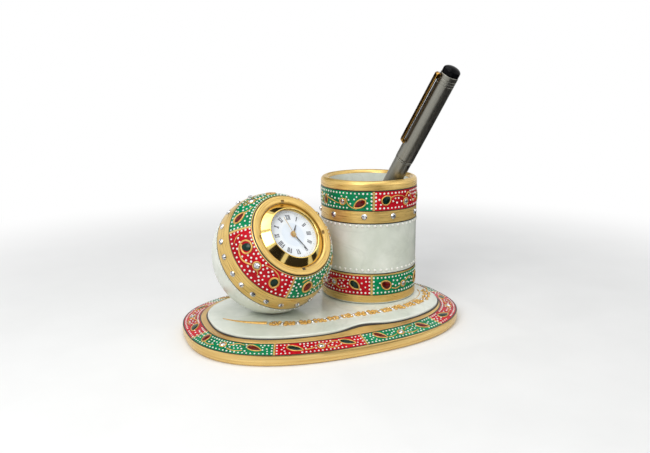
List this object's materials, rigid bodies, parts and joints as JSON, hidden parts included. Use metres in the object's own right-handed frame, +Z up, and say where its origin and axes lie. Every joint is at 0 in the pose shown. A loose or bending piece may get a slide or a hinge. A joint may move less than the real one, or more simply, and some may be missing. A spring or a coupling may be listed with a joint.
{
  "type": "desk clock with pen stand",
  "caption": "Painted marble desk set: oval base, ball with a push-in dial clock, and a round cup holding a capped pen.",
  "frame": {"origin": "middle of the base's flat underside", "axes": "+Z up, +X along the base's long side from the ball to the cup, +Y away from the viewer"},
  "size_m": [0.15, 0.105, 0.1344],
  "materials": {
    "marble": "honed white marble",
    "gold_paint": "matte gold paint",
    "red_enamel": "glossy red paint",
    "green_enamel": "glossy green paint",
    "white_dots": "raised white paint dots",
    "dark_line": "dark painted line",
    "clear_stone": "faceted foil-backed stones",
    "polished_brass": "polished and plated",
    "lens_glass": "clear mineral glass",
    "white_dial": "printed white",
    "dark_hand": "dark lacquer",
    "steel": "plain",
    "rubber": "moulded",
    "white_plastic": "moulded",
    "black_plastic": "moulded gloss",
    "movement_brass": "stamped",
    "copper_wire": "enamelled wire winding",
    "magnet": "sintered",
    "circuit_board": "solder mask",
    "brushed_metal": "satin brushed"
  },
  "bodies": {
    "stone": {"base_slab": "marble", "ball_body": "marble", "pen_cup": "marble"},
    "clock_insert": {"insert_bezel": "polished_brass", "insert_lens": "lens_glass", "dial_ring": "polished_brass", "dial": "white_dial", "insert_case": "steel", "grip_gasket": "rubber", "movement_holder": "white_plastic", "main_plate": "movement_brass", "train_bridge": "movement_brass", "bridge_screw_1": "steel", "bridge_screw_2": "steel", "stator": "steel", "coil_core": "steel", "drive_coil": "copper_wire", "circuit_board": "circuit_board", "quartz_can": "steel", "control_chip": "black_plastic", "button_battery": "steel", "battery_strap": "steel", "back_cover": "steel"},
    "second_group": {"second_hand": "polished_brass", "second_wheel": "movement_brass"},
    "motor_rotor": {"rotor": "magnet"},
    "intermediate_group": {"intermediate_wheel": "movement_brass"},
    "third_group": {"third_wheel": "movement_brass"},
    "centre_group": {"centre_wheel": "movement_brass"},
    "minute_group": {"minute_hand": "dark_hand", "cannon_pinion": "steel"},
    "minute_wheel_group": {"minute_wheel": "movement_brass"},
    "hour_group": {"hour_hand": "dark_hand", "hour_wheel": "movement_brass"},
    "stem_pinion": {"sliding_pinion": "steel"},
    "crown_group": {"winding_stem": "steel", "crown": "polished_brass"},
    "lever": {"setting_lever": "steel"},
    "pen": {"pen_barrel": "brushed_metal", "grip_section": "black_plastic", "refill": "steel", "seam_ring": "brushed_metal"},
    "cap": {"pen_cap": "brushed_metal", "cap_liner": "black_plastic", "cap_finial": "black_plastic"},
    "clip": {"pen_clip": "polished_brass"}
  },
  "joints": [
    {"name": "insert_pull", "type": "slide", "parent": "stone", "child": "clock_insert", "axis": [0.2337, -0.7788, 0.5821], "range_m": [0, 0.03]},
    {"name": "second_hand_turn", "type": "hinge", "parent": "clock_insert", "child": "second_group", "pos_m": [-0.02263, -0.01278, 0.05165], "axis": [-0.2337, 0.7788, -0.5821], "continuous": true},
    {"name": "rotor_turn", "type": "hinge", "parent": "clock_insert", "child": "motor_rotor", "pos_m": [-0.02007, -0.01549, 0.047], "axis": [-0.2337, 0.7788, -0.5821], "continuous": true},
    {"name": "intermediate_turn", "type": "hinge", "parent": "clock_insert", "child": "intermediate_group", "pos_m": [-0.02233, -0.0151, 0.04842], "axis": [-0.2337, 0.7788, -0.5821], "continuous": true},
    {"name": "third_turn", "type": "hinge", "parent": "clock_insert", "child": "third_group", "pos_m": [-0.0262, -0.01241, 0.05358], "axis": [-0.2337, 0.7788, -0.5821], "continuous": true},
    {"name": "centre_turn", "type": "hinge", "parent": "clock_insert", "child": "centre_group", "pos_m": [-0.02263, -0.01278, 0.05165], "axis": [-0.2337, 0.7788, -0.5821], "continuous": true},
    {"name": "minute_hand_turn", "type": "hinge", "parent": "clock_insert", "child": "minute_group", "pos_m": [-0.02263, -0.01278, 0.05165], "axis": [-0.2337, 0.7788, -0.5821], "continuous": true},
    {"name": "minute_wheel_turn", "type": "hinge", "parent": "clock_insert", "child": "minute_wheel_group", "pos_m": [-0.01944, -0.01127, 0.05238], "axis": [-0.2337, 0.7788, -0.5821], "continuous": true},
    {"name": "hour_hand_turn", "type": "hinge", "parent": "clock_insert", "child": "hour_group", "pos_m": [-0.02263, -0.01278, 0.05165], "axis": [-0.2337, 0.7788, -0.5821], "continuous": true},
    {"name": "crown_turn", "type": "hinge", "parent": "clock_insert", "child": "stem_pinion", "pos_m": [-0.00954, -0.00788, 0.04934], "axis": [0.9694, 0.2326, -0.0779], "continuous": true},
    {"name": "crown_pull", "type": "slide", "parent": "stem_pinion", "child": "crown_group", "axis": [0.9694, 0.2326, -0.0779], "range_m": [0, 0.0005]},
    {"name": "setting_lever_swing", "type": "hinge", "parent": "clock_insert", "child": "lever", "pos_m": [-0.01374, -0.00884, 0.05334], "axis": [0.2337, -0.7788, 0.5821], "range_deg": [0, 12]},
    {"name": "pen_lift", "type": "slide", "parent": "stone", "child": "pen", "axis": [0.2182, -0.4722, 0.8541], "range_m": [0, 0.12]},
    {"name": "cap_pull", "type": "slide", "parent": "pen", "child": "cap", "axis": [0.2182, -0.4722, 0.8541], "range_m": [0, 0.05]},
    {"name": "clip_flex", "type": "hinge", "parent": "cap", "child": "clip", "pos_m": [0.04946, -0.03256, 0.13049], "axis": [0.1436, 0.8812, 0.4505], "range_deg": [0, 4], "stiffness_Nm_per_rad": 0.05}
  ],
  "couplings": [
    {"joint": "rotor_turn", "follows": "second_hand_turn", "ratio": 30},
    {"joint": "intermediate_turn", "follows": "second_hand_turn", "ratio": -6},
    {"joint": "third_turn", "follows": "second_hand_turn", "ratio": -0.13333},
    {"joint": "centre_turn", "follows": "second_hand_turn", "ratio": 0.016667},
    {"joint": "minute_wheel_turn", "follows": "minute_hand_turn", "ratio": -0.33333},
    {"joint": "hour_hand_turn", "follows": "minute_hand_turn", "ratio": 0.083333},
    {"joint": "setting_lever_swing", "follows": "crown_pull", "rad_per_m": 377.36}
  ]
}
